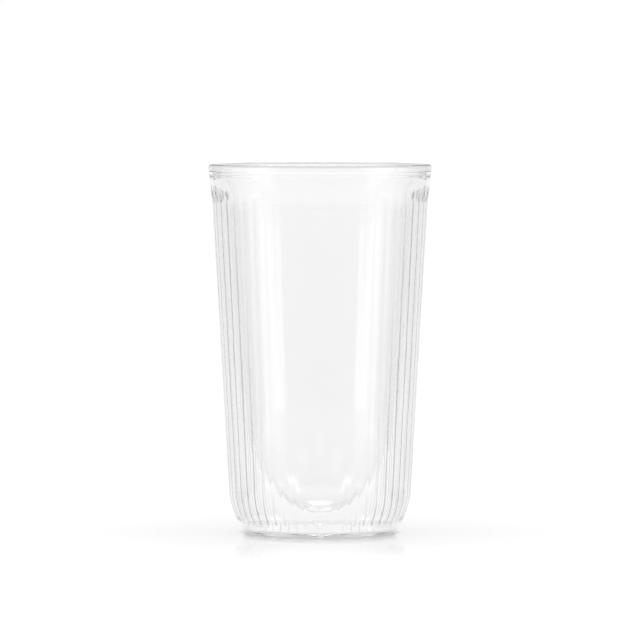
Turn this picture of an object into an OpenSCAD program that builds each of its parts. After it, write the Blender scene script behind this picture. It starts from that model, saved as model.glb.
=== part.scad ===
// A tall double-wall drinking glass: a fluted outer wall, a smooth inner
// vessel, the ring of glass that fuses the two at the rim, and the soft plug
// that closes the vent in the base. Millimetres, Z up, with the origin on the
// table under the centre of the foot.

/* [Rim] */
// Height from the table to the top of the rim
glass_h = 140; // [125:1:160]
// Outer radius of the fused rim and of the collar under it
rim_r = 42.3; // [41:0.1:44]
// Width of the fused rim, from its outside to the mouth
rim_w = 4; // [3.9:0.05:4.6]
// Height of the solid glass in the fused rim, above the air gap
weld_h = 3.2; // [2.2:0.1:4]
// Rounding of the rim's top edges
rim_edge_r = 1.1; // [0.6:0.1:1.4]

/* [Outer wall] */
// How far the collar under the rim stands proud of the smooth band
collar_step = 0.3; // [0.15:0.05:0.6]
// Height of the collar
collar_h = 1.2; // [1:0.1:3]
// Outer radius at the top of the rounded shoulder, where there are no flutes
shoulder_top_r = 35.25; // [34.5:0.05:36.5]
// Height of the top of the rounded shoulder
shoulder_top_z = 16.5; // [15.5:0.1:19]
// Radius of the rounded shoulder, seen from the side
shoulder_arc_r = 28.4; // [26:0.1:31]
// Rounding between the shoulder and the table
foot_edge_r = 0.8; // [0.5:0.1:1.4]
// Thickness of the outer wall where it has no flutes
outer_t = 2; // [1.7:0.05:2.3]
// Thickness of the base at its middle
base_t = 1.3; // [1.1:0.1:2]
// Rise of the base's domed underside above the table
push_up = 0.6; // [0.5:0.1:1.2]
// Width of the flat ring that the glass stands on
foot_flat_w = 0.8; // [0.4:0.1:2]
// How far the foot lies inside the shoulder's unfluted surface
foot_sink = 0.45; // [0.4:0.01:0.6]
// Rounding inside the outer wall, between its base and its side
base_fillet_r = 1.5; // [0.8:0.1:4]

/* [Flutes] */
// Number of flutes round the outer wall
flutes = 52; // [46:1:60]
// Radius of the round groove that makes each flute
flute_r = 20; // [14:0.5:24]
// Depth of a flute under the smooth band's surface
flute_depth = 0.54; // [0.45:0.01:0.7]
// Distance from the flutes' round upper ends up to the solid rim
flute_top_gap = 7; // [5:0.1:30]
// Height at which the flutes have faded out, on the shoulder
flute_low_z = 3.6; // [3:0.1:6]
// Length over which the flutes fade out, along the shoulder
flute_fade = 3; // [1.5:0.1:5]

/* [Inner vessel] */
// Thickness of the inner vessel's wall
inner_t = 1.5; // [1.2:0.05:1.8]
// Height of the flared lip, below the solid rim
flare_h = 16.2; // [12:0.1:19]
// Lean of the vessel's side in degrees, over that of the outer wall
extra_lean = 2.75; // [2.4:0.05:3.2]
// Radius of the flare under the rim, seen from the side
flare_arc_r = 90; // [80:1:140]
// Air between the base and the vessel's lowest point
bottom_gap = 5.5; // [4:0.1:9]
// Radius of the rounded bottom, outside
bowl_r = 21; // [18:0.5:24]
// Radius of the curve that joins the rounded bottom to the straight side
haunch_arc_r = 60; // [45:1:80]

/* [Vent plug] */
// Diameter of the vent hole in the base
vent_d = 2.6; // [2:0.1:3]
// Depth of the flat seat round the vent
vent_seat = 0.2; // [0.1:0.05:0.4]
// Diameter of the plug's head, under the base
plug_head_d = 5.2; // [4.6:0.1:8]
// Thickness of the plug's head
plug_head_t = 0.5; // [0.3:0.05:0.55]
// Largest diameter of the plug's barb, inside the air gap
plug_barb_d = 3.6; // [3.2:0.1:4.4]
// Height of the plug's barb
plug_barb_h = 0.8; // [0.5:0.1:2]

/* [Hidden] */

// Sides of a full round, steps of a rounded corner, and columns across a flute
round_sides = 180;
arc_steps = 10;
flute_columns = 5;
// Rows of the fluted skin: down the side, round the shoulder and in the fade
side_rows = 3;
shoulder_rows = 5;
fade_rows = 4;
// Where the rows in a flute's round end lie, from its middle to its edge
end_row_shares = [0, 0.35, 0.65, 0.88, 1];
// Least reach of a flute's round end at its sides, as a share of its length
end_least_share = 0.1;
// Overrun of every cut, and the clearance of the vent's seat round the head
overrun = 1;
seat_clearance = 0.5;
// Ledge between the fluted skin and the foot under it
foot_ledge = 0.1;
// Tip of the plug's barb as a share of its largest diameter
barb_tip_share = 0.6;
half_turn = 180;
degrees = half_turn / PI;

// Heights where the rim's solid glass and the collar start, and the radii of
// the mouth and of the smooth band
weld_z = glass_h - weld_h;
band_z = weld_z - collar_h;
mouth_r = rim_r - rim_w;
band_r = rim_r - collar_step;

// The outer wall's straight side, and the centre of its shoulder's curve
taper = atan((band_r - shoulder_top_r) / (band_z - shoulder_top_z));
arc_x = shoulder_top_r - shoulder_arc_r * cos(taper);
arc_z = shoulder_top_z + shoulder_arc_r * sin(taper);
function side_r(z) = shoulder_top_r + (z - shoulder_top_z) * tan(taper);
foot_arc_r = shoulder_arc_r - foot_sink;
foot_x = arc_x + sqrt(pow(foot_arc_r - foot_edge_r, 2) - pow(arc_z - foot_edge_r, 2));

// The inside of the outer wall: same curves, one wall thickness in
floor_z = push_up + base_t;
hollow_arc_r = shoulder_arc_r - outer_t;
fillet_z = floor_z + base_fillet_r;
fillet_x = arc_x + sqrt(pow(hollow_arc_r - base_fillet_r, 2) - pow(arc_z - fillet_z, 2));
fillet_angle = asin((arc_z - fillet_z) / (hollow_arc_r - base_fillet_r));

// The flutes follow the side and the shoulder. Places along them are lengths
// from the top of the shoulder, up the side or, below zero, round the shoulder
end_reach = sqrt(pow(flute_r, 2) - pow(flute_r - flute_depth, 2));
upper_end = (weld_z - flute_top_gap - shoulder_top_z) / cos(taper) - end_reach;
skin_low = -(asin((arc_z - flute_low_z) / shoulder_arc_r) - taper) / degrees * shoulder_arc_r;
fade_start = skin_low + flute_fade;

// Lean of the inner vessel's side, and the curve of its flared lip, which ends
// with its inner face at the mouth
lean = taper + extra_lean;
neck_z = weld_z - flare_h;
flare_z = neck_z - flare_arc_r * sin(lean);
function lip_lean(inset) = asin((weld_z - flare_z) / (flare_arc_r + inset));
flare_x = mouth_r + (flare_arc_r + inner_t) * cos(lip_lean(inner_t));
neck_r = flare_x - flare_arc_r * cos(lean);

// Points of an arc about [x, z], from one angle to another. An arc that goes on
// from another leaves out its first point
function arc(x, z, r, from, to, first = 0) = [
    for (i = [first : arc_steps])
        let (a = from + (to - from) * i / arc_steps)
            [x + r * cos(a), z + r * sin(a)]
];

// The same outline swept round the glass's axis
module turned(points) {
    rotate_extrude($fn = round_sides) polygon(points);
}

function skin_angle(s) = s >= 0 ? taper : taper - s / shoulder_arc_r * degrees;
function skin_point(s) = s >= 0
    ? [shoulder_top_r + s * sin(taper), shoulder_top_z + s * cos(taper)]
    : [
        arc_x + shoulder_arc_r * cos(skin_angle(s)),
        arc_z - shoulder_arc_r * sin(skin_angle(s))
    ];

// Depth of a flute, across by y from its middle and along by u past the centre
// of its round end
function groove(y, u) =
    max(0, sqrt(max(0, pow(flute_r, 2) - pow(y, 2) - pow(u, 2))) - (flute_r - flute_depth));

// One point of the fluted skin: a place along it, a depth and a turn
function on_skin(s, deep, turn) =
    let (a = skin_angle(s), p = skin_point(s), r = p[0] - deep * cos(a))
        [r * cos(turn), r * sin(turn), p[1] + deep * sin(a)];

// How far a flute's round end reaches beside its middle
function end_bound(y) =
    sqrt(max(pow(end_reach, 2) - pow(y, 2), pow(end_reach * end_least_share, 2)));

// Turns of the skin's columns. One flute's middle is at turn zero, and each
// ridge between two flutes has a column of its own
pitch = 360 / flutes;
turns = [for (i = [0 : flutes * flute_columns - 1]) (i / flute_columns - 1 / 2) * pitch];
function off_middle(turn) = turn - pitch * round(turn / pitch);

// A ring of points in the flutes' round ends, the given share of the way up
function end_ring(centre, share) = [
    for (turn = turns)
        let (y = skin_point(centre)[0] * sin(off_middle(turn)), u = share * end_bound(y))
            on_skin(centre + u, groove(y, u), turn)
];

// A ring of points across the flutes between their round ends
function run_ring(s) = [
    for (turn = turns)
        on_skin(s, groove(skin_point(s)[0] * sin(off_middle(turn)), 0), turn)
];

// A ring of points where the flutes fade out, the given share of the way down
// to the foot's surface
function fade_ring(share) = [
    for (turn = turns)
        let (
            s = fade_start - share * flute_fade,
            deep = groove(skin_point(s)[0] * sin(off_middle(turn)), 0),
            faded = share * share * (3 - 2 * share)
        )
            on_skin(s, deep * (1 - faded) + (foot_sink - foot_ledge) * faded, turn)
];

// The plain ring at the top of the smooth band
function band_ring() = [for (turn = turns) [band_r * cos(turn), band_r * sin(turn), band_z]];

// The solid that the flutes are cut in, from the foot up to the collar
module fluted_skin() {
    last = len(end_row_shares) - 1;
    rings = concat(
        [for (i = [0 : fade_rows - 1]) fade_ring(1 - i / fade_rows)],
        [for (i = [0 : shoulder_rows]) run_ring(fade_start * (1 - i / shoulder_rows))],
        [for (i = [1 : side_rows - 1]) run_ring(upper_end * i / side_rows)],
        [for (i = [0 : last]) end_ring(upper_end, end_row_shares[i])],
        [band_ring()]
    );
    count = len(turns);
    polyhedron(
        points = [for (ring = rings) each ring],
        faces = concat(
            [[for (i = [0 : count - 1]) i]],
            [
                for (row = [0 : len(rings) - 2])
                    for (i = [0 : count - 1])
                        let (a = row * count + i, b = row * count + (i + 1) % count)
                            each [[a, a + count, b], [b, a + count, b + count]]
            ],
            [[for (i = [count - 1 : -1 : 0]) (len(rings) - 1) * count + i]]
        )
    );
}

// The foot: from the table up to the fluted skin, with a domed underside
module foot() {
    foot_angle = asin((arc_z - foot_edge_r) / (foot_arc_r - foot_edge_r));
    skin_low_z = on_skin(skin_low, foot_sink - foot_ledge, 0)[2];
    skin_low_angle = asin((arc_z - skin_low_z) / foot_arc_r);
    flat_x = foot_x - foot_flat_w;
    dome_r = (pow(flat_x, 2) + pow(push_up, 2)) / (2 * push_up);
    turned(concat(
        [[0, skin_low_z]],
        arc(0, push_up - dome_r, dome_r, 90, acos(flat_x / dome_r)),
        arc(foot_x, foot_edge_r, foot_edge_r, -90, -foot_angle),
        arc(arc_x, arc_z, foot_arc_r, -foot_angle, -skin_low_angle, 1)
    ));
}

// The collar that the rim is fused to, a little proud of the smooth band
module collar() {
    translate([0, 0, band_z]) cylinder(h = collar_h, r = rim_r, $fn = round_sides);
}

// The air space inside the outer wall
module hollow() {
    turned(concat(
        [[0, floor_z]],
        arc(fillet_x, fillet_z, base_fillet_r, -90, -fillet_angle),
        arc(arc_x, arc_z, hollow_arc_r, -fillet_angle, -taper, 1),
        [
            [side_r(weld_z + overrun) - outer_t / cos(taper), weld_z + overrun],
            [0, weld_z + overrun]
        ]
    ));
}

module outer_wall() {
    color([0.87, 0.92, 0.93, 0.5])
    difference() {
        union() {
            fluted_skin();
            foot();
            collar();
        }
        hollow();
        cylinder(h = floor_z + overrun, d = vent_d, $fn = round_sides);
        cylinder(
            h = push_up + vent_seat,
            r = plug_head_d / 2 + seat_clearance,
            $fn = round_sides
        );
    }
}

// The inner vessel's outline from its lowest point to its lip, drawn the given
// distance inside its outer face
function vessel_outline(inset) =
    let (
        bowl_z = floor_z + bottom_gap + bowl_r,
        // The haunch's centre slides along the side until its curve meets the bowl
        across = [cos(lean), -sin(lean)],
        up = [sin(lean), cos(lean)],
        from = [neck_r, neck_z - bowl_z] - haunch_arc_r * across,
        b = from * up,
        slide = sqrt(pow(b, 2) - from * from + pow(haunch_arc_r - bowl_r, 2)) - b,
        centre = from + slide * up,
        meet = atan2(centre[1], -centre[0])
    )
    concat(
        arc(0, bowl_z, bowl_r - inset, -90, -meet),
        arc(centre[0], bowl_z + centre[1], haunch_arc_r - inset, -meet, -lean, 1),
        arc(
            flare_x, flare_z, flare_arc_r + inset, half_turn - lean, half_turn - lip_lean(inset)
        )
    );

// Points in the opposite order
function reversed(points) = [for (i = [len(points) - 1 : -1 : 0]) points[i]];

module inner_vessel() {
    color([0.93, 0.96, 0.97, 0.5])
    turned(concat(vessel_outline(0), reversed(vessel_outline(inner_t))));
}

// The ring of glass that the flame leaves where the two walls are fused
module rim_weld() {
    color([0.8, 0.87, 0.88])
    turned(concat(
        [[mouth_r, weld_z], [rim_r, weld_z]],
        arc(rim_r - rim_edge_r, glass_h - rim_edge_r, rim_edge_r, 0, 90),
        arc(mouth_r + rim_edge_r, glass_h - rim_edge_r, rim_edge_r, 90, half_turn)
    ));
}

// The soft plug: a flat head under the base, a stem and a barb
module vent_plug() {
    seat_z = push_up + vent_seat;
    color([0.95, 0.95, 0.94])
    turned([
        [0, seat_z - plug_head_t],
        [plug_head_d / 2, seat_z - plug_head_t],
        [plug_head_d / 2, seat_z],
        [vent_d / 2, seat_z],
        [vent_d / 2, floor_z],
        [plug_barb_d / 2, floor_z],
        [plug_barb_d / 2 * barb_tip_share, floor_z + plug_barb_h],
        [0, floor_z + plug_barb_h]
    ]);
}

outer_wall();
inner_vessel();
rim_weld();
vent_plug();
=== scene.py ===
"""Dresses the double-wall chai glass: clear fluted glass, soft plug, white studio."""

import logging
import math
from collections.abc import Callable, Mapping, Sequence
from dataclasses import dataclass
from enum import Enum
from typing import Any

import bmesh
import bpy
from mathutils import Matrix, Vector


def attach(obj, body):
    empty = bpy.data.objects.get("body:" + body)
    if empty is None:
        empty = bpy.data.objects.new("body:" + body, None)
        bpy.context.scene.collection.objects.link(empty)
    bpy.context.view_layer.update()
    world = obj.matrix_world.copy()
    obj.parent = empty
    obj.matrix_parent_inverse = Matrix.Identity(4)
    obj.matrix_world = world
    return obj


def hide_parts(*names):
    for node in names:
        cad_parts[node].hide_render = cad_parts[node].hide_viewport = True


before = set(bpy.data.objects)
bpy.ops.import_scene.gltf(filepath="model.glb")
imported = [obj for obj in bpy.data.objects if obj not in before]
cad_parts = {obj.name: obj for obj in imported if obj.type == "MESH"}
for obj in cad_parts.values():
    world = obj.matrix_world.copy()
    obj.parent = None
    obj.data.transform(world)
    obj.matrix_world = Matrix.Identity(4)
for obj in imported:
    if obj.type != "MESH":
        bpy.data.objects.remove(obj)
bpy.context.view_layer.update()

MM = 0.001
LOG = logging.getLogger("chai_glass")

SAME_POINT = 1e-6
"""Distance under which two points of an outline are one, in millimetres."""

SAME_CORNER = 2e-7
"""Distance under which two corners of a mesh are one, in metres."""

SEAM_REACH = 0.001
"""How near to the weld a face has to lie to be fused, in millimetres."""

Point = tuple[float, float]
Colour = tuple[float, float, float]


# Shader maths


class Number:
    """A value on a node socket, worked on with Python's own operators."""

    def __init__(self, maker: "NodeMaker", socket: bpy.types.NodeSocket) -> None:
        """Wraps an output socket.

        Args:
            maker: The maker that owns the node tree.
            socket: The output socket that carries the value.
        """
        self.maker = maker
        self.socket = socket

    def apply(self, operation: str, *others: "Number | float") -> "Number":
        """Adds one Math node.

        Args:
            operation: The Math node's operation.
            others: The values of its other sockets.

        Returns:
            The node's result.
        """
        values = {i: v for i, v in enumerate((self, *others))}
        made = self.maker.node("ShaderNodeMath", {"operation": operation}, values)
        return Number(self.maker, made.outputs[0])

    def swapped(self, operation: str, first: float) -> "Number":
        """Adds a Math node whose first value is a plain number."""
        values = {0: first, 1: self}
        made = self.maker.node("ShaderNodeMath", {"operation": operation}, values)
        return Number(self.maker, made.outputs[0])

    def __add__(self, other: "Number | float") -> "Number":
        """Returns the sum."""
        return self.apply("ADD", other)

    __radd__ = __add__

    def __mul__(self, other: "Number | float") -> "Number":
        """Returns the product."""
        return self.apply("MULTIPLY", other)

    __rmul__ = __mul__

    def __sub__(self, other: "Number | float") -> "Number":
        """Returns the difference."""
        return self.apply("SUBTRACT", other)

    def __rsub__(self, other: float) -> "Number":
        """Returns a plain number less this value."""
        return self.swapped("SUBTRACT", other)

    def __truediv__(self, other: "Number | float") -> "Number":
        """Returns the quotient."""
        return self.apply("DIVIDE", other)

    def __rtruediv__(self, other: float) -> "Number":
        """Returns a plain number over this value."""
        return self.swapped("DIVIDE", other)

    def __pow__(self, other: "Number | float") -> "Number":
        """Returns the power."""
        return self.apply("POWER", other)

    def __abs__(self) -> "Number":
        """Returns the size without its sign."""
        return self.apply("ABSOLUTE")

    def largest(self, other: "Number | float") -> "Number":
        """Returns the larger of two values."""
        return self.apply("MAXIMUM", other)

    def least(self, other: "Number | float") -> "Number":
        """Returns the smaller of two values."""
        return self.apply("MINIMUM", other)


class NodeMaker:
    """Adds nodes to one node tree."""

    def __init__(self, tree: bpy.types.NodeTree) -> None:
        """Empties a node tree and keeps it.

        Args:
            tree: The tree of a material or of the world.
        """
        tree.nodes.clear()
        self.tree = tree

    def node(
        self,
        kind: str,
        settings: Mapping[str, Any] | None = None,
        inputs: Mapping[str | int, Any] | None = None,
    ) -> bpy.types.Node:
        """Adds one node.

        Args:
            kind: The node's type.
            settings: Its properties, with "stops" for a ramp's (place, grey) pairs.
            inputs: Values or links of its sockets, by name or number.

        Returns:
            The new node.
        """
        made = self.tree.nodes.new(kind)
        for name, value in (settings or {}).items():
            if name == "stops":
                self._set_stops(made.color_ramp, value)
            else:
                setattr(made, name, value)
        for key, value in (inputs or {}).items():
            if isinstance(value, Number):
                self.tree.links.new(value.socket, made.inputs[key])
            elif isinstance(value, bpy.types.NodeSocket):
                self.tree.links.new(value, made.inputs[key])
            else:
                made.inputs[key].default_value = value
        return made

    def number(self, kind: str, output: str | int, **parts: Any) -> Number:
        """Adds one node and wraps one of its outputs.

        Args:
            kind: The node's type.
            output: The output's name or number.
            parts: The settings and inputs of the node.

        Returns:
            The wrapped output.
        """
        return Number(self, self.node(kind, **parts).outputs[output])

    def ramp(self, value: Number, ends: Point, low: float = 0.0, high: float = 1.0) -> Number:
        """Adds a smooth step.

        Args:
            value: The value that is mapped.
            ends: Where the step starts and ends.
            low: The result before the step.
            high: The result past it.

        Returns:
            The mapped value.
        """
        return self.number(
            "ShaderNodeMapRange",
            "Result",
            settings={"interpolation_type": "SMOOTHSTEP"},
            inputs={"Value": value, 1: ends[0], 2: ends[1], 3: low, 4: high},
        )

    @staticmethod
    def _set_stops(ramp: bpy.types.ColorRamp, stops: Sequence[Point]) -> None:
        """Gives a ramp its grey stops."""
        while len(ramp.elements) > 1:
            ramp.elements.remove(ramp.elements[-1])
        for i, (place, grey) in enumerate(stops):
            stop = ramp.elements[0] if i == 0 else ramp.elements.new(place)
            stop.position = place
            stop.color = (grey, grey, grey, 1.0)


# Finishes


@dataclass(frozen=True)
class ClearGlass:
    """Clear glass with the faint waves and polish marks of a real wall, and painted shade on its
    edges and ridges.

    Attributes:
        name: The material's name.
        tint: Colour that one face of the glass lets through.
        ior: Refractive index.
        wave_size: Number of waves in a metre.
        wave_stretch: How much longer the waves are up the wall than round it.
        wave_height: Height of the waves, in metres.
        wave_detail: Layers of finer waves on them.
        haze: Greatest roughness of the polish.
        mark_scale: How much finer the polish marks are than the waves.
        mark_detail: Layers of finer marks on them.
        mark_power: Power that leaves only the strongest marks.
        edge_shade_z: Heights where the painted shade of a dark edge starts and is darkest.
        edge_shade_r: Radii where that painted shade starts and is darkest.
        edge_shade_tint: Colour that one face lets through where the painted shade is darkest.
        flutes: Number of flutes whose ridges get painted shade at a slant, or 0.
        ridge_z: Heights between which the painted ridge shade runs.
        ridge_fade: Height over which it fades at both ends, in metres.
        ridge_edges: Where the painted shade is darkest and where it has faded out, from 0
            on a ridge's crest to 1 in the middle of the flute.
        ridge_slant: Slants at which the painted shade starts and is darkest.
        ridge_rise: How fast those slants grow with height, for each metre.
        ridge_shade_tint: Colour that the glass lets through where the painted ridge shade is
            darkest.
    """

    name: str
    tint: Colour = (0.989, 0.989, 0.989)
    ior: float = 1.47
    wave_size: float = 70.0
    wave_stretch: float = 4.0
    wave_height: float = 0.0000004
    wave_detail: float = 2.0
    haze: float = 0.004
    mark_scale: int = 9
    mark_detail: float = 3.0
    mark_power: float = 3.0
    edge_shade_z: Point = (1.0, 2.0)
    edge_shade_r: Point = (-2.0, -1.0)
    edge_shade_tint: Colour = (0.62, 0.62, 0.62)
    flutes: int = 0
    ridge_z: Point = (0.005, 0.127)
    ridge_fade: float = 0.001
    ridge_edges: Point = (0.05, 0.45)
    ridge_slant: Point = (0.12, 0.32)
    ridge_rise: float = 1.6
    ridge_shade_tint: Colour = (0.34, 0.34, 0.34)

    def make(self) -> bpy.types.Material:
        """Returns the finish as a node material."""
        material = bpy.data.materials.new(self.name)
        material.use_nodes = True
        maker = NodeMaker(material.node_tree)
        place = maker.node("ShaderNodeTexCoord").outputs["Object"]
        stretched = maker.node(
            "ShaderNodeMapping",
            inputs={"Vector": place, "Scale": (1.0, 1.0, 1.0 / self.wave_stretch)},
        ).outputs[0]
        waves = maker.number(
            "ShaderNodeTexNoise",
            "Fac",
            inputs={
                "Vector": stretched,
                "Scale": self.wave_size,
                "Detail": self.wave_detail,
            },
        )
        marks = maker.number(
            "ShaderNodeTexNoise",
            "Fac",
            inputs={
                "Vector": place,
                "Scale": self.wave_size * self.mark_scale,
                "Detail": self.mark_detail,
            },
        )
        bump = maker.node(
            "ShaderNodeBump",
            inputs={"Strength": 1.0, "Distance": self.wave_height, "Height": waves},
        )
        parts = maker.node("ShaderNodeSeparateXYZ", inputs={0: place}).outputs
        x, y, z = (Number(maker, parts[i]) for i in range(3))
        # Painted shade: greys the glass at the foot's edge and at the rim's top, standing in for
        # their dark edges.
        edge_shade = maker.ramp(z, self.edge_shade_z) * maker.ramp((x * x + y * y) ** 0.5, self.edge_shade_r)
        colour = maker.node(
            "ShaderNodeMix",
            {"data_type": "RGBA"},
            {0: edge_shade, 6: (*self.tint, 1.0), 7: (*self.edge_shade_tint, 1.0)},
        )
        # Painted shade: greys the flute ridges where the glass is seen at a slant.
        if self.flutes:
            slant = maker.number("ShaderNodeLayerWeight", "Facing", inputs={"Blend": 0.5})
            ridge_shade = abs((y.apply("ARCTAN2", x) * (self.flutes / 2)).apply("COSINE"))
            ridge_shade = maker.ramp(ridge_shade, self.ridge_edges, 1.0, 0.0)
            ridge_shade = ridge_shade * maker.ramp(slant - z * self.ridge_rise, self.ridge_slant)
            low, top = self.ridge_z
            ridge_shade = ridge_shade * maker.ramp(z, (low - self.ridge_fade, low))
            ridge_shade = ridge_shade * maker.ramp(z, (top - self.ridge_fade, top), 1.0, 0.0)
            colour = maker.node(
                "ShaderNodeMix",
                {"data_type": "RGBA"},
                {0: ridge_shade, 6: colour.outputs[2], 7: (*self.ridge_shade_tint, 1.0)},
            )
        shader = maker.node(
            "ShaderNodeBsdfPrincipled",
            inputs={
                "Base Color": colour.outputs[2],
                "Roughness": marks**self.mark_power * self.haze,
                "IOR": self.ior,
                "Transmission Weight": 1.0,
                "Normal": bump.outputs[0],
            },
        )
        maker.node("ShaderNodeOutputMaterial", inputs={"Surface": shader.outputs[0]})
        return material


@dataclass(frozen=True)
class FusedSeam:
    """A face inside the glass, where the flame has melted two walls into one."""

    name: str

    def make(self) -> bpy.types.Material:
        """Returns the finish as a node material."""
        material = bpy.data.materials.new(self.name)
        material.use_nodes = True
        maker = NodeMaker(material.node_tree)
        shader = maker.node(
            "ShaderNodeBsdfPrincipled",
            inputs={
                "Base Color": (1.0, 1.0, 1.0, 1.0),
                "Roughness": 0.0,
                "Transmission Weight": 1.0,
                "Alpha": 0.0,
            },
        )
        maker.node("ShaderNodeOutputMaterial", inputs={"Surface": shader.outputs[0]})
        return material


@dataclass(frozen=True)
class ClearSilicone:
    """Clear silicone with a fine moulded grain.

    Attributes:
        name: The material's name.
        pale: Colour of the clean silicone.
        dusty: Colour where dust clings to it.
        dust_size: Number of dusty patches in a metre.
        dust_detail: Layers of finer patches on them.
        dust_power: Power that leaves only the dustiest patches.
        grain_size: Number of grains in a metre.
        grain_strength: Strength of the grain.
        grain_height: Height of the grain, in metres.
        haze: Least roughness, and how much of it the dust adds.
        ior: Refractive index.
        cover: Share of the light that meets the silicone. The rest passes through it.
    """

    name: str
    pale: Colour = (0.97, 0.975, 0.975)
    dusty: Colour = (0.93, 0.935, 0.93)
    dust_size: float = 600.0
    dust_detail: float = 4.0
    dust_power: float = 2.0
    grain_size: float = 4000.0
    grain_strength: float = 0.3
    grain_height: float = 0.00005
    haze: Point = (0.02, 0.04)
    ior: float = 1.41
    cover: float = 0.3

    def make(self) -> bpy.types.Material:
        """Returns the finish as a node material."""
        material = bpy.data.materials.new(self.name)
        material.use_nodes = True
        maker = NodeMaker(material.node_tree)
        place = maker.node("ShaderNodeTexCoord").outputs["Object"]
        cloud = maker.number(
            "ShaderNodeTexNoise",
            "Fac",
            inputs={"Vector": place, "Scale": self.dust_size, "Detail": self.dust_detail},
        )
        grain = maker.number(
            "ShaderNodeTexNoise", "Fac", inputs={"Vector": place, "Scale": self.grain_size}
        )
        colour = maker.node(
            "ShaderNodeMix",
            {"data_type": "RGBA"},
            {0: cloud**self.dust_power, 6: (*self.pale, 1.0), 7: (*self.dusty, 1.0)},
        )
        bump = maker.node(
            "ShaderNodeBump",
            inputs={
                "Strength": self.grain_strength,
                "Distance": self.grain_height,
                "Height": grain,
            },
        )
        shader = maker.node(
            "ShaderNodeBsdfPrincipled",
            inputs={
                "Base Color": colour.outputs[2],
                "Roughness": self.haze[0] + cloud * self.haze[1],
                "IOR": self.ior,
                "Transmission Weight": 1.0,
                "Alpha": self.cover,
                "Normal": bump.outputs[0],
            },
        )
        maker.node("ShaderNodeOutputMaterial", inputs={"Surface": shader.outputs[0]})
        return material


class Finish(Enum):
    """The finishes of the glass's pieces."""

    # OUTER and RIM get painted shade at the foot's edge and the rim's top; OUTER also on its
    # ridges.
    OUTER = ClearGlass(
        "outer_glass", edge_shade_z=(0.0014, 0.0003), edge_shade_r=(0.026, 0.027), flutes=52
    )
    INNER = ClearGlass("inner_glass", wave_size=45.0, wave_stretch=1.5, wave_height=0.0000006)
    RIM = ClearGlass("rim_glass", wave_size=110.0, wave_stretch=1.0, edge_shade_z=(0.1389, 0.1394))
    SEAM = FusedSeam("fused_seam")
    PLUG = ClearSilicone("plug_silicone")


# Shapes


def arc(centre: Point, radius: float, start: float, end: float, steps: int) -> list[Point]:
    """Lays points along an arc.

    Args:
        centre: The arc's centre.
        radius: Its radius.
        start: Its first angle, in radians.
        end: Its last angle, in radians.
        steps: The number of steps between them.

    Returns:
        The points, both ends included.
    """
    turns = [start + (end - start) * i / steps for i in range(steps + 1)]
    return [(centre[0] + radius * math.cos(a), centre[1] + radius * math.sin(a)) for a in turns]


def joined(*runs: Sequence[Point]) -> list[Point]:
    """Joins runs of points and leaves out points that repeat."""
    points: list[Point] = []
    for point in (p for run in runs for p in run):
        if not points or math.dist(points[-1], point) > SAME_POINT:
            points.append(point)
    return points


class Turning:
    """A piece turned round the glass's axis from a closed or pole-to-pole outline."""

    def __init__(
        self,
        outline: Sequence[Point],
        sectors: int,
        columns: int,
        shape: Callable[[bmesh.types.BMesh], None] | None = None,
    ) -> None:
        """Spins the outline over one sector, then lays the sectors side by side.

        Args:
            outline: Radius and height of each corner, in millimetres.
            sectors: The number of equal sectors round the axis.
            columns: The number of steps across a sector.
            shape: Moves the corners of the first sector, before it is repeated.
        """
        self.mesh = bmesh.new()
        corners = [self.mesh.verts.new((r * MM, 0.0, z * MM)) for r, z in outline]
        edges = [self.mesh.edges.new(pair) for pair in zip(corners, corners[1:])]
        if outline[0][0] > 0.0:
            edges.append(self.mesh.edges.new((corners[-1], corners[0])))
        pitch = math.tau / sectors
        bmesh.ops.spin(
            self.mesh,
            geom=[*corners, *edges],
            cent=(0.0, 0.0, 0.0),
            axis=(0.0, 0.0, 1.0),
            dvec=(0.0, 0.0, 0.0),
            angle=pitch,
            steps=columns,
            use_merge=False,
            use_duplicate=False,
        )
        if shape:
            shape(self.mesh)
        first = [*self.mesh.verts, *self.mesh.edges, *self.mesh.faces]
        for i in range(1, sectors):
            copied = bmesh.ops.duplicate(self.mesh, geom=first)["geom"]
            bmesh.ops.rotate(
                self.mesh,
                cent=(0.0, 0.0, 0.0),
                matrix=Matrix.Rotation(pitch * i, 3, "Z"),
                verts=[part for part in copied if isinstance(part, bmesh.types.BMVert)],
            )
        bmesh.ops.remove_doubles(self.mesh, verts=self.mesh.verts[:], dist=SAME_CORNER)
        bmesh.ops.recalc_face_normals(self.mesh, faces=self.mesh.faces[:])

    def finish(
        self,
        name: str,
        finishes: Sequence[Finish],
        fused: Callable[[Vector], bool],
        sharp_angle: float = 38.0,
    ) -> bpy.types.Object:
        """Turns the solid into an object with smooth faces and its materials.

        Args:
            name: The piece's name.
            finishes: The main finish, then the finish of fused faces.
            fused: Tells from a face's middle whether it lies inside the melted glass.
            sharp_angle: Edges bent by more degrees than this stay sharp.

        Returns:
            The new object, linked to the scene.
        """
        for face in self.mesh.faces:
            face.smooth = True
            if len(finishes) > 1 and fused(face.calc_center_median()):
                face.material_index = 1
        data = bpy.data.meshes.new(name)
        self.mesh.to_mesh(data)
        self.mesh.free()
        data.set_sharp_from_angle(angle=math.radians(sharp_angle))
        for finish in finishes:
            data.materials.append(MATERIALS[finish])
        made = bpy.data.objects.new(name, data)
        bpy.context.scene.collection.objects.link(made)
        return made


MATERIALS: dict[Finish, bpy.types.Material] = {}


@dataclass(frozen=True)
class Rim:
    """Sizes of the fused rim, in millimetres.

    Attributes:
        top_z: Height of the glass.
        outer_r: Outer radius of the rim.
        width: Width of the fused ring.
        height: Height of the fused ring.
        edge_r: Rounding of its top edges.
    """

    top_z: float = 140.0
    outer_r: float = 42.2999
    width: float = 4.0
    height: float = 3.2
    edge_r: float = 1.1

    @property
    def weld_z(self) -> float:
        """Height where the fused glass starts."""
        return self.top_z - self.height

    @property
    def mouth_r(self) -> float:
        """Inner radius of the rim."""
        return self.outer_r - self.width


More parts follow.
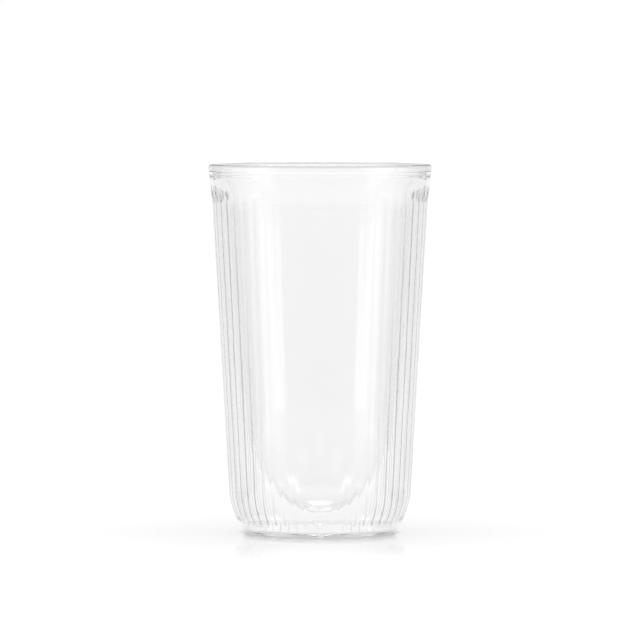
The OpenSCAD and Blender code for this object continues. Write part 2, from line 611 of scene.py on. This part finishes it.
@dataclass
class OuterWall:
    """The fluted outer wall, with its collar, shoulder and foot, in millimetres.

    Attributes:
        rim: Sizes of the rim above it.
        collar_step: How far the collar stands out from the smooth band.
        collar_h: Height of the collar.
        swell_h: Half the height of the soft swell from the band to the collar.
        shoulder_top_r: Radius where the straight side starts.
        shoulder_top_z: Height where it starts.
        shoulder_arc_r: Radius of the shoulder's curve.
        foot_edge_r: Rounding of the foot's outer edge.
        foot_flat_w: Width of the ring that the glass stands on.
        foot_sink: How far the surface under the flutes lies inside the plain one.
        thickness: Thickness of the side.
        base_t: Thickness of the base over its pushed-up middle.
        push_up: How far the base's middle is pushed up.
        fillet_r: Rounding between the base and the side, in the gap.
        vent_d: Diameter of the vent.
        seat_r: Radius of the seat of the plug's head.
        seat_depth: Depth of that seat.
        flutes: Number of flutes.
        flute_r: Radius of a flute's hollow.
        flute_depth: Depth of a flute in its middle.
        flute_top_gap: Distance from the weld down to the flutes' upper ends.
        flute_low_z: Height where the flutes have faded out.
        flute_fade: Length over which they fade there.
        low_row_z: Height of the lowest row of corners on the outside.
        end_margin: Smooth surface above the flutes that still gets close rows.
        weld_margin: Distance from the weld to the first row on the inner face.
        inner_fade: Length over which the inner face's flutes fade at their lower end.
        columns: Steps of the mesh across a flute.
        column_pull: How far they are pulled to the ridges, as a share of a flute.
        ridge_melt: How far the ridges are melted down.
        edge_melt: How far the flutes' round ends are melted.
        inner_share: Depth of the inner face's flutes, as a share of the outer ones.
        inner_melt: How far the ridges of the inner face are melted down.
    """

    rim: Rim
    collar_step: float = 0.3
    collar_h: float = 1.2
    swell_h: float = 1.0
    shoulder_top_r: float = 35.25
    shoulder_top_z: float = 16.5
    shoulder_arc_r: float = 28.4
    foot_edge_r: float = 0.8
    foot_flat_w: float = 0.8
    foot_sink: float = 0.45
    thickness: float = 2.0
    base_t: float = 1.3
    push_up: float = 0.6
    fillet_r: float = 1.5
    vent_d: float = 2.6
    seat_r: float = 3.1
    seat_depth: float = 0.2
    flutes: int = 52
    flute_r: float = 20.0
    flute_depth: float = 0.54
    flute_top_gap: float = 7.0
    flute_low_z: float = 3.6
    flute_fade: float = 3.0
    low_row_z: float = 1.0
    end_margin: float = 0.4
    weld_margin: float = 0.6
    inner_fade: float = 7.0
    columns: int = 12
    column_pull: float = 0.08
    ridge_melt: float = 0.1
    edge_melt: float = 0.3
    inner_share: float = 0.1
    inner_melt: float = 0.2

    def __post_init__(self) -> None:
        """Works out the curves of the wall from its sizes."""
        self.band_r = self.rim.outer_r - self.collar_step
        self.band_z = self.rim.weld_z - self.collar_h
        rise = self.band_z - self.shoulder_top_z
        self.taper = math.atan((self.band_r - self.shoulder_top_r) / rise)
        self.centre = (
            self.shoulder_top_r - self.shoulder_arc_r * math.cos(self.taper),
            self.shoulder_top_z + self.shoulder_arc_r * math.sin(self.taper),
        )
        self.floor_z = self.push_up + self.base_t
        self.reach = math.sqrt(self.flute_r**2 - (self.flute_r - self.flute_depth) ** 2)
        top_z = self.rim.weld_z - self.flute_top_gap
        self.upper_end = (top_z - self.shoulder_top_z) / math.cos(self.taper) - self.reach
        drop = math.asin((self.centre[1] - self.flute_low_z) / self.shoulder_arc_r) - self.taper
        self.lower_end = -drop * self.shoulder_arc_r + self.flute_fade
        self.inner_low = 0.0

    def skin(self, along: float) -> tuple[float, float, float]:
        """Finds a place on the plain outer surface.

        Args:
            along: Length up the side from the shoulder's top, or below zero round it.

        Returns:
            Radius, height and lean of the surface there.
        """
        if along >= 0.0:
            r = self.shoulder_top_r + along * math.sin(self.taper)
            return r, self.shoulder_top_z + along * math.cos(self.taper), self.taper
        lean = self.taper - along / self.shoulder_arc_r
        r = self.centre[0] + self.shoulder_arc_r * math.cos(lean)
        return r, self.centre[1] - self.shoulder_arc_r * math.sin(lean), lean

    def groove(self, along: float, turn: float, melt: float) -> float:
        """Finds how deep the flutes cut, with their edges melted round.

        Args:
            along: Place along the skin.
            turn: Turn round the axis, in radians.
            melt: How far the ridges are melted down.

        Returns:
            Depth under the plain surface.
        """
        radius = self.skin(along)[0]
        past = max(along - self.upper_end, 0.0)
        pitch = math.tau / self.flutes
        off = abs(turn - pitch * round(turn / pitch))
        near, far = (
            math.sqrt(max(0.0, self.flute_r**2 - past**2 - (radius * math.sin(a)) ** 2))
            - (self.flute_r - self.flute_depth)
            for a in (off, pitch - off)
        )
        cut = (near + far + math.hypot(near - far, melt)) / 2
        cut = (cut + math.hypot(cut, self.edge_melt)) / 2
        faded = min(1.0, max(0.0, (self.lower_end - along) / self.flute_fade))
        return cut + (self.foot_sink - cut) * faded * faded * (3.0 - 2.0 * faded)

    def rows(self) -> list[float]:
        """Returns the places along the skin that get a row of corners."""
        low = -(math.asin((self.centre[1] - self.low_row_z) / self.shoulder_arc_r) - self.taper)
        low *= self.shoulder_arc_r
        top = (self.band_z - self.swell_h - self.shoulder_top_z) / math.cos(self.taper)
        rows: list[float] = []
        marks = [
            (low, self.lower_end - self.flute_fade, 6),
            (self.lower_end - self.flute_fade, self.lower_end, 10),
            (self.lower_end, 0.0, 12),
            (0.0, self.upper_end, 9),
            (self.upper_end, self.upper_end + self.reach + self.end_margin, 14),
            (self.upper_end + self.reach + self.end_margin, top, 3),
        ]
        for start, end, steps in marks:
            rows += [start + (end - start) * i / steps for i in range(steps)]
        return [*rows, top]

    def outline(self) -> list[Point]:
        """Returns the wall's closed outline, from the vent round the outside."""
        edge, foot_r = self.foot_edge_r, self.shoulder_arc_r - self.foot_sink
        foot_x = self.centre[0] + math.sqrt((foot_r - edge) ** 2 - (self.centre[1] - edge) ** 2)
        foot_turn = math.asin((self.centre[1] - edge) / (foot_r - edge))
        flat_x = foot_x - self.foot_flat_w
        dome_r = (flat_x**2 + self.push_up**2) / (2.0 * self.push_up)
        dome_turns = math.acos(self.seat_r / dome_r), math.acos(flat_x / dome_r)
        seat_z = self.push_up + self.seat_depth
        rim, hollow_r = self.rim, self.shoulder_arc_r - self.thickness
        fillet_z = self.floor_z + self.fillet_r
        fillet_x = self.centre[0] + math.sqrt(
            (hollow_r - self.fillet_r) ** 2 - (self.centre[1] - fillet_z) ** 2
        )
        fillet_turn = math.asin((self.centre[1] - fillet_z) / (hollow_r - self.fillet_r))
        return joined(
            [(self.vent_d / 2, self.floor_z), (self.vent_d / 2, seat_z)],
            [(self.seat_r, seat_z)],
            arc((0.0, self.push_up - dome_r), dome_r, *dome_turns, 16),
            arc((foot_x, edge), edge, -math.pi / 2, -foot_turn, 10),
            [self.skin(s)[:2] for s in self.rows()],
            self.swell(),
            [(rim.outer_r, rim.weld_z)],
            [(self.gap_r, rim.weld_z)],
            [self.spot(s, self.thickness) for s in self.inner_rows(fillet_turn)],
            arc((fillet_x, fillet_z), self.fillet_r, -fillet_turn, -math.pi / 2, 16),
        )

    def swell(self) -> list[Point]:
        """Returns the soft swell from the smooth band out to the collar."""
        low, high = self.band_z - self.swell_h, self.band_z + self.swell_h
        r = self.spot((low - self.shoulder_top_z) / math.cos(self.taper), 0.0)[0]
        shares = [i / 10 for i in range(1, 11)]
        return [
            (r + (self.rim.outer_r - r) * t * t * (3.0 - 2.0 * t), low + (high - low) * t)
            for t in shares
        ]

    @property
    def gap_r(self) -> float:
        """Outer radius of the air gap at the weld."""
        along = (self.rim.weld_z - self.shoulder_top_z) / math.cos(self.taper)
        return self.skin(along)[0] - self.thickness / math.cos(self.taper)

    def spot(self, along: float, deep: float) -> Point:
        """Finds the point a given depth under the plain outer surface."""
        r, z, lean = self.skin(along)
        return r - deep * math.cos(lean), z + deep * math.sin(lean)

    def inner_rows(self, fillet_turn: float) -> list[float]:
        """Places the rows of the wall's inner face, from the weld to the fillet.

        Args:
            fillet_turn: Lean of the inner face where the fillet starts, in radians.

        Returns:
            Their places along the skin.
        """
        low = (self.taper - fillet_turn) * self.shoulder_arc_r
        top = (self.rim.weld_z - self.shoulder_top_z) / math.cos(self.taper)
        top -= self.weld_margin
        rows: list[float] = []
        marks = [
            (top, self.upper_end + self.reach, 3),
            (self.upper_end + self.reach, self.upper_end, 12),
            (self.upper_end, 0.0, 9),
            (0.0, low, 16),
        ]
        for start, end, steps in marks:
            rows += [start + (end - start) * i / steps for i in range(steps)]
        self.inner_low = low
        return [*rows, low]

    def flute(self, mesh: bmesh.types.BMesh) -> None:
        """Presses the flutes into one sector, and faintly into its inner face.

        Args:
            mesh: The sector of the turned wall.
        """
        faces = [(self.rows(), 0.0, 1.0, self.ridge_melt)]
        fillet_turn = self.taper - self.inner_low / self.shoulder_arc_r
        faces.append(
            (self.inner_rows(fillet_turn), self.thickness, self.inner_share, self.inner_melt)
        )
        known = {
            tuple(round(v, 3) for v in self.spot(s, deep)): (s, deep, share, melt)
            for rows, deep, share, melt in faces
            for s in rows
        }
        pitch = math.tau / self.flutes
        for corner in mesh.verts:
            x, y, z = (value / MM for value in corner.co)
            found = known.get((round(math.hypot(x, y), 3), round(z, 3)))
            if found is None:
                continue
            along, deep, share, melt = found
            turn = math.atan2(y, x)
            turn += self.column_pull * pitch * math.sin(turn / pitch * math.tau)
            if deep:
                fade = min(1.0, max(0.0, (along - self.inner_low) / self.inner_fade))
                share *= fade * fade * (3.0 - 2.0 * fade)
            r, height = self.spot(along, deep + share * self.groove(along, turn, melt))
            corner.co = Vector((r * math.cos(turn), r * math.sin(turn), height)) * MM

    def build(self) -> bpy.types.Object:
        """Returns the finished piece."""
        turning = Turning(self.outline(), self.flutes, self.columns, self.flute)
        weld_z = self.rim.weld_z
        return turning.finish(
            "outer_wall_glass",
            [Finish.OUTER, Finish.SEAM],
            lambda middle: middle.z > (weld_z - SEAM_REACH) * MM,
        )


@dataclass
class InnerVessel:
    """The smooth inner vessel, in millimetres and degrees.

    Attributes:
        rim: Sizes of the rim above it.
        thickness: Thickness of the wall.
        lean_degrees: Lean of the straight side.
        flare_h: Height of the flare under the weld.
        flare_r: Radius of the flare's curve.
        low_z: Height of the vessel's lowest point.
        bowl_r: Radius of the round bottom.
        haunch_r: Radius of the curve between the bottom and the side.
    """

    rim: Rim
    thickness: float = 1.5
    lean_degrees: float = 6.0
    flare_h: float = 16.2
    flare_r: float = 90.0
    low_z: float = 7.4
    bowl_r: float = 21.0
    haunch_r: float = 60.0

    def face(self, inset: float) -> list[Point]:
        """Traces one face of the vessel from its lowest point to its lip.

        Args:
            inset: Distance inside the outer face.

        Returns:
            The points of the outline.
        """
        lean = math.radians(self.lean_degrees)
        neck_z = self.rim.weld_z - self.flare_h
        flare_z = neck_z - self.flare_r * math.sin(lean)
        inner_r = self.flare_r + self.thickness
        inner_lip = math.asin((self.rim.weld_z - flare_z) / inner_r)
        flare_x = self.rim.mouth_r + inner_r * math.cos(inner_lip)
        neck_r = flare_x - self.flare_r * math.cos(lean)
        bowl_z = self.low_z + self.bowl_r
        across = Vector((math.cos(lean), -math.sin(lean)))
        up = Vector((math.sin(lean), math.cos(lean)))
        start = Vector((neck_r, neck_z - bowl_z)) - self.haunch_r * across
        b = start.dot(up)
        slide = math.sqrt(b**2 - start.dot(start) + (self.haunch_r - self.bowl_r) ** 2) - b
        haunch = start + slide * up
        meet = math.atan2(haunch.y, -haunch.x)
        lip = math.asin((self.rim.weld_z - flare_z) / (self.flare_r + inset))
        side = arc((haunch.x, bowl_z + haunch.y), self.haunch_r - inset, -meet, -lean, 24)
        flare = arc((flare_x, flare_z), self.flare_r + inset, math.pi - lean, math.pi - lip, 16)
        run = [
            tuple(Vector(side[-1]).lerp(Vector(flare[0]), i / 6)) for i in range(1, 6)
        ]
        return joined(
            arc((0.0, bowl_z), self.bowl_r - inset, -math.pi / 2, -meet, 24), side, run, flare
        )

    def build(self) -> bpy.types.Object:
        """Returns the finished piece."""
        outside, inside = self.face(0.0), self.face(self.thickness)
        outline = [*outside, *reversed(inside)]
        outline[0], outline[-1] = (0.0, outline[0][1]), (0.0, outline[-1][1])
        weld_z = self.rim.weld_z
        return Turning(outline, 16, 16).finish(
            "inner_vessel_glass",
            [Finish.INNER, Finish.SEAM],
            lambda middle: middle.z > (weld_z - SEAM_REACH) * MM,
        )

    @property
    def lip_r(self) -> float:
        """Outer radius of the vessel where it meets the weld."""
        return self.face(0.0)[-1][0]


@dataclass
class RimWeld:
    """The fused rim, with a rounded roof over the air gap, in millimetres.

    Attributes:
        rim: Sizes of the rim.
        gap_inner_r: Inner radius of the air gap at the weld.
        gap_outer_r: Outer radius of the air gap at the weld.
        roof_h: Height of the roof.
    """

    rim: Rim
    gap_inner_r: float
    gap_outer_r: float
    roof_h: float = 0.4

    def build(self) -> bpy.types.Object:
        """Returns the finished piece."""
        rim = self.rim
        low, edge = rim.weld_z, rim.edge_r
        middle = (self.gap_inner_r + self.gap_outer_r) / 2
        half = (self.gap_outer_r - self.gap_inner_r) / 2
        roof = [
            (middle - half * math.cos(a), low + self.roof_h * math.sin(a))
            for a in (math.pi * i / 12 for i in range(13))
        ]
        outline = joined(
            [(rim.mouth_r, low)],
            roof,
            [(rim.outer_r, low)],
            arc((rim.outer_r - edge, rim.top_z - edge), edge, 0.0, math.pi / 2, 12),
            arc((rim.mouth_r + edge, rim.top_z - edge), edge, math.pi / 2, math.pi, 12),
        )
        inner, outer = self.gap_inner_r, self.gap_outer_r

        def fused(place: Vector) -> bool:
            """Tells whether a face lies between the rim and one of the walls."""
            radius = math.hypot(place.x, place.y) / MM
            return place.z < (low + SEAM_REACH) * MM and not inner < radius < outer

        return Turning(outline, 26, 16).finish(
            "rim_weld_glass", [Finish.RIM, Finish.SEAM], fused
        )


@dataclass
class VentPlug:
    """The soft plug in the base's vent, in millimetres.

    Attributes:
        vent_d: Diameter of the vent.
        seat_z: Height of the seat of the plug's head.
        floor_z: Height of the base's upper face.
        head_d: Diameter of the head.
        head_t: Thickness of the head.
        barb_d: Diameter of the barb above the base.
        barb_h: Height of the barb.
        barb_edge_r: Rounding of the barb's lower edge.
        barb_lean: Lean of the barb's side, in radians.
        tip_share: Radius of the barb's tip, as a share of the barb's.
        tip_edge_r: Rounding of the tip.
        edge_r: Rounding of the head.
        slack: Gap between the stem and the vent.
        dimple_r: Radius of the dimple in the head.
        dimple_depth: Depth of the dimple.
        dimple_lip_w: Width of the dimple's steeper lip.
        dimple_lip_share: Depth at the lip's inner end, as a share of the dimple's.
    """

    vent_d: float = 2.6
    seat_z: float = 0.8
    floor_z: float = 1.9
    head_d: float = 5.2
    head_t: float = 0.5
    barb_d: float = 3.6
    barb_h: float = 0.8
    barb_edge_r: float = 0.12
    barb_lean: float = 0.3
    tip_share: float = 0.6
    tip_edge_r: float = 0.3
    edge_r: float = 0.2
    slack: float = 0.02
    dimple_r: float = 0.9
    dimple_depth: float = 0.12
    dimple_lip_w: float = 0.2
    dimple_lip_share: float = 0.6

    def build(self) -> bpy.types.Object:
        """Returns the finished piece."""
        low, head, edge = self.seat_z - self.head_t, self.head_d / 2, self.edge_r
        tip_z, barb = self.floor_z + self.barb_h, self.barb_d / 2
        tip, stem = barb * self.tip_share, self.vent_d / 2 - self.slack
        lip_r, lip_z = self.dimple_r - self.dimple_lip_w, self.dimple_depth * self.dimple_lip_share
        round_r, tip_r, lean = self.barb_edge_r, self.tip_edge_r, self.barb_lean
        outline = joined(
            [(0.0, low + self.dimple_depth)],
            [(lip_r, low + lip_z), (self.dimple_r, low)],
            arc((head - edge, low + edge), edge, -math.pi / 2, 0.0, 6),
            arc((head - edge / 2, self.seat_z - edge / 2), edge / 2, 0.0, math.pi / 2, 4),
            [(stem, self.seat_z), (stem, self.floor_z)],
            arc((barb - round_r, self.floor_z + round_r), round_r, -math.pi / 2, lean, 4),
            arc((tip - tip_r, tip_z - tip_r), tip_r, lean, math.pi / 2, 5),
            [(0.0, tip_z)],
        )
        return Turning(outline, 8, 12).finish("vent_plug_silicone", [Finish.PLUG], lambda _: False)


# Studio


@dataclass
class Studio:
    """The camera, the pale floor and the soft white surround.

    Attributes:
        distance: Distance from the camera to the glass's axis, in metres.
        height: Height of the camera above the table, in metres.
        horizon_row: Image row of the horizon, in a picture of 640 rows.
        focal: Focal length in pixels of a picture 640 pixels wide.
        image: Width of that picture, in pixels.
        sensor: Width of the camera's sensor, in millimetres.
        clip: Nearest and farthest distance that the camera sees, in metres.
        bounces: How often light may bounce off or pass through a face.
        ceiling: Brightness of the ceiling in the glass.
        band_top: Upward parts of a direction between which the surround ends.
        ceiling_edge: Upward parts between which the ceiling starts.
        contact_r: Radius of the painted shadow line under the foot, in metres.
        contact_fade: Distances from that line between which the shadow fades.
        contact_shade: Darkness of that shadow.
        mirror_reach: Distances from the axis between which the floor stops mirroring.
        mirror_tint: Colour of the mirror image.
        mirror_haze: Roughness of the mirror image.
        floor_r: Radius of the floor, in metres.
        floor_drop: How far the floor lies under the foot, in metres.
        floor_tint: Colour of the floor.
        floor_ior: Refractive index of its polish.
        floor_glow: Light that lifts the floor to white in the camera's view.
        floor_share: Share of plain white in what the glass sees of the floor.
        floor_white: Brightness of that white.
        floor_sheen: How much brighter it gets at a low slant.
        sheen_cap: Largest reflection that still makes it brighter.
        shade_band_edges: Turns where the painted shade bands at the sides start and end.
        shade_band_reach: Distances from the axis between which the painted shade bands start.
        shade_band_darkness: Darkness of the painted shade bands in the glass.
        windows: Directions of the soft windows overhead that the bowl mirrors.
        window_edge: Cosines of the angles between which a window fades in.
        window_glow: Brightness that a window adds.
        surround: Brightness of what the glass mirrors and bends, by the turn away
            from the camera's side, from 0 at the camera to 1 straight behind.
    """

    distance: float = 2.225
    height: float = 0.18
    horizon_row: float = 58.1
    focal: float = 5868.0
    image: float = 640.0
    sensor: float = 36.0
    clip: Point = (0.05, 30.0)
    bounces: int = 96
    ceiling: float = 0.9
    band_top: Point = (0.1, 0.22)
    ceiling_edge: Point = (0.3, 0.65)
    contact_r: float = 0.0285
    contact_fade: Point = (0.0008, 0.003)
    contact_shade: float = 0.75
    mirror_reach: Point = (0.03, 0.19)
    mirror_tint: Colour = (0.94, 0.94, 0.94)
    mirror_haze: float = 0.02
    floor_r: float = 8.0
    floor_drop: float = 0.00002
    floor_tint: Colour = (0.8, 0.8, 0.8)
    floor_ior: float = 1.45
    floor_glow: float = 0.33
    floor_share: float = 0.85
    floor_white: float = 0.9
    floor_sheen: float = 0.2
    sheen_cap: float = 0.5
    shade_band_edges: tuple[Point, Point] = ((0.5, 0.53), (0.86, 0.88))
    shade_band_reach: Point = (0.1, 0.25)
    shade_band_darkness: float = 0.1
    windows: tuple[tuple[float, float, float], ...] = (
        (0.598, 0.151, 0.787),
        (-0.598, 0.151, 0.787),
        (0.0, 0.7, 0.714),
        (0.0, 0.766, 0.643),
    )
    window_edge: Point = (0.976, 0.99)
    window_glow: float = 1.9
    surround: tuple[Point, ...] = (
        (0.0, 0.46),
        (0.11, 0.5),
        (0.18, 0.62),
        (0.29, 0.7),
        (0.32, 1.9),
        (0.43, 1.9),
        (0.46, 1.0),
        (0.53, 1.0),
        (0.57, 0.3),
        (0.82, 0.3),
        (0.88, 1.0),
        (1.0, 1.0),
    )

    def aim_camera(self) -> None:
        """Places the camera."""
        data = bpy.data.cameras.new("studio_camera")
        data.sensor_width = self.sensor
        data.lens = self.focal / self.image * data.sensor_width
        data.clip_start, data.clip_end = self.clip
        camera = bpy.data.objects.new("studio_camera", data)
        camera.location = (0.0, -self.distance, self.height)
        drop = math.atan((self.image / 2 - self.horizon_row) / self.focal)
        camera.rotation_euler = (math.pi / 2 - drop, 0.0, 0.0)
        bpy.context.scene.collection.objects.link(camera)
        bpy.context.scene.camera = camera

    def light_world(self) -> None:
        """Makes the world white to the camera and a soft studio to the glass."""
        world = bpy.data.worlds.new("white_studio")
        world.use_nodes = True
        bpy.context.scene.world = world
        maker = NodeMaker(world.node_tree)
        way = maker.node("ShaderNodeTexCoord").outputs["Generated"]
        parts = maker.node("ShaderNodeSeparateXYZ", inputs={0: way}).outputs
        x, y, z = (Number(maker, parts[i]) for i in range(3))
        turn = abs(x.apply("ARCTAN2", y * -1.0)) / math.pi
        over, high = maker.ramp(z, self.band_top), maker.ramp(z, self.ceiling_edge)
        ring = maker.number(
            "ShaderNodeValToRGB",
            "Color",
            settings={"stops": [(place, grey / 2) for place, grey in self.surround]},
            inputs={"Fac": turn},
        )
        seen = maker.node("ShaderNodeLightPath").outputs
        through = Number(maker, seen["Is Glossy Ray"]).largest(
            Number(maker, seen["Is Transmission Ray"])
        )
        around = ring * 2.0 + over * (1.0 - ring * 2.0)
        around = around + high * (self.ceiling - around)
        for way_x, way_y, way_z in self.windows:
            facing = x * way_x + y * way_y + z * way_z
            around = around + maker.ramp(facing, self.window_edge) * self.window_glow
        strength = 1.0 + through * (around - 1.0)
        light = maker.node(
            "ShaderNodeBackground", inputs={"Color": (1.0, 1.0, 1.0, 1.0), "Strength": strength}
        )
        maker.node("ShaderNodeOutputWorld", inputs={"Surface": light.outputs[0]})

    def lay_floor(self) -> bpy.types.Object:
        """Lays a pale floor that mirrors the foot faintly and keeps its shadow."""
        mesh = bmesh.new()
        bmesh.ops.create_circle(mesh, cap_ends=True, segments=96, radius=self.floor_r)
        data = bpy.data.meshes.new("studio_floor")
        mesh.to_mesh(data)
        mesh.free()
        data.transform(Matrix.Translation((0.0, 0.0, -self.floor_drop)))
        floor = bpy.data.objects.new("studio_floor", data)
        bpy.context.scene.collection.objects.link(floor)
        data.materials.append(self.floor_paint())
        return floor

    def floor_paint(self) -> bpy.types.Material:
        """Returns the floor's material."""
        material = bpy.data.materials.new("pale_floor")
        material.use_nodes = True
        maker = NodeMaker(material.node_tree)
        place = maker.node("ShaderNodeTexCoord").outputs["Object"]
        away = maker.number(
            "ShaderNodeVectorMath", "Value", settings={"operation": "LENGTH"}, inputs={0: place}
        )
        near = maker.ramp(away, self.mirror_reach, 1.0, 0.0)
        seen = maker.node("ShaderNodeLightPath").outputs
        camera = Number(maker, seen["Is Camera Ray"])
        through = Number(maker, seen["Is Glossy Ray"]).largest(
            Number(maker, seen["Is Transmission Ray"])
        )
        fresnel = maker.number("ShaderNodeFresnel", 0, inputs={"IOR": self.floor_ior})
        # Painted contact shadow: a darker ring on the floor round the foot, which also dims the
        # floor's glow.
        painted_contact_shadow = maker.ramp(
            abs(away - self.contact_r), self.contact_fade, self.contact_shade, 0.0
        )
        matt = maker.node("ShaderNodeBsdfDiffuse", inputs={"Color": (*self.floor_tint, 1.0)})
        glow = maker.node(
            "ShaderNodeEmission", inputs={"Color": camera * self.floor_glow * (1.0 - painted_contact_shadow)}
        )
        pale = maker.node("ShaderNodeAddShader", inputs={0: matt.outputs[0], 1: glow.outputs[0]})
        parts = maker.node("ShaderNodeSeparateXYZ", inputs={0: place}).outputs
        # Painted shade: darker bands of the floor at the sides, seen only in the glass, standing in
        # for a darker studio there.
        turn = abs(Number(maker, parts[0]).apply("ARCTAN2", Number(maker, parts[1]) * -1.0))
        turn = turn / math.pi
        shade_band = maker.ramp(turn, self.shade_band_edges[0]) * maker.ramp(turn, self.shade_band_edges[1], 1.0, 0.0)
        shade_band = shade_band * maker.ramp(away, self.shade_band_reach) * self.shade_band_darkness
        bright = self.floor_white + self.floor_sheen * fresnel.least(self.sheen_cap)
        white = maker.node("ShaderNodeEmission", inputs={"Color": bright * (1.0 - shade_band)})
        shown = maker.node(
            "ShaderNodeMixShader",
            inputs={0: through * self.floor_share, 1: pale.outputs[0], 2: white.outputs[0]},
        )
        gloss = maker.node(
            "ShaderNodeBsdfGlossy",
            inputs={"Color": (*self.mirror_tint, 1.0), "Roughness": self.mirror_haze},
        )
        mixed = maker.node(
            "ShaderNodeMixShader",
            inputs={0: near * camera * fresnel, 1: shown.outputs[0], 2: gloss.outputs[0]},
        )
        maker.node("ShaderNodeOutputMaterial", inputs={"Surface": mixed.outputs[0]})
        return material

    def set_looks(self) -> None:
        """Sets the plain view transform and lets light pass every wall."""
        scene = bpy.context.scene
        scene.view_settings.view_transform = "Standard"
        scene.cycles.max_bounces = self.bounces
        scene.cycles.transmission_bounces = self.bounces
        scene.cycles.glossy_bounces = self.bounces
        scene.cycles.transparent_max_bounces = self.bounces


def main() -> None:
    """Builds the glass's pieces and the studio, and reports each piece."""
    logging.basicConfig(level=logging.INFO, format="%(message)s")
    MATERIALS.update({finish: finish.value.make() for finish in Finish})
    rim = Rim()
    wall, vessel = OuterWall(rim), InnerVessel(rim)
    weld = RimWeld(rim, vessel.lip_r, wall.gap_r)
    for maker, node, slot in (
        (wall, "outer_wall", "outer_glass"),
        (vessel, "inner_vessel", "inner_glass"),
        (weld, "rim_weld", "rim_glass"),
        (VentPlug(), "vent_plug", "plug_silicone"),
    ):
        piece = maker.build()
        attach(piece, "root")
        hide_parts(node)
        LOG.info("%s stands for %s: %d faces", piece.name, node, len(piece.data.polygons))
    studio = Studio()
    studio.aim_camera()
    studio.light_world()
    studio.lay_floor()
    studio.set_looks()


if __name__ == "__main__":
    main()
